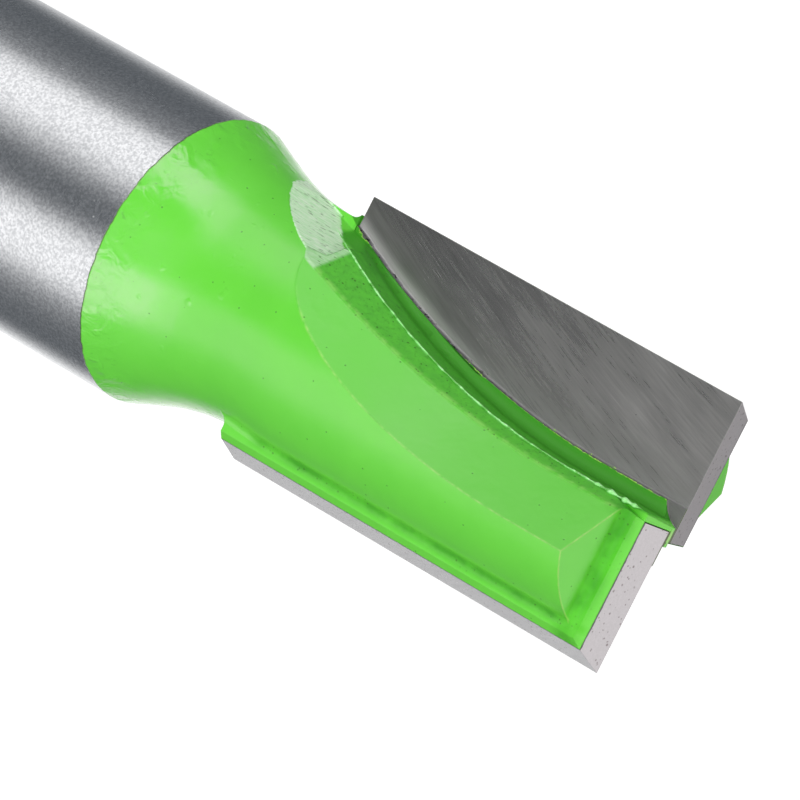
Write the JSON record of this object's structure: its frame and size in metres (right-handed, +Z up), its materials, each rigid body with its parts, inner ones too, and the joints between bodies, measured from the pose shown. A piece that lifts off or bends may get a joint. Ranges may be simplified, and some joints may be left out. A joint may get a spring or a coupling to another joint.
{
  "type": "router bit",
  "caption": "Straight router bit: a round shank, a waisted painted neck and a fluted cutting portion with carbide tips brazed into its lands.",
  "frame": {"origin": "centre of the shank's end face, which is also the bottom of the bounding box", "axes": "+Z runs up the bit's axis to its cutting end; the cutting edges lie near the XZ plane, and the tip on the +X side has its rake face towards +Y"},
  "size_m": [0.0126, 0.0126, 0.0639],
  "materials": {
    "painted_steel": "glossy bright green paint on the neck and the cutting portion, and a bare satin-ground steel shank below it",
    "carbide": "grey tungsten carbide with fine grinding marks"
  },
  "bodies": {
    "root": {"bit_body": "painted_steel", "cutting_tip_a": "carbide", "cutting_tip_b": "carbide"}
  },
  "joints": []
}
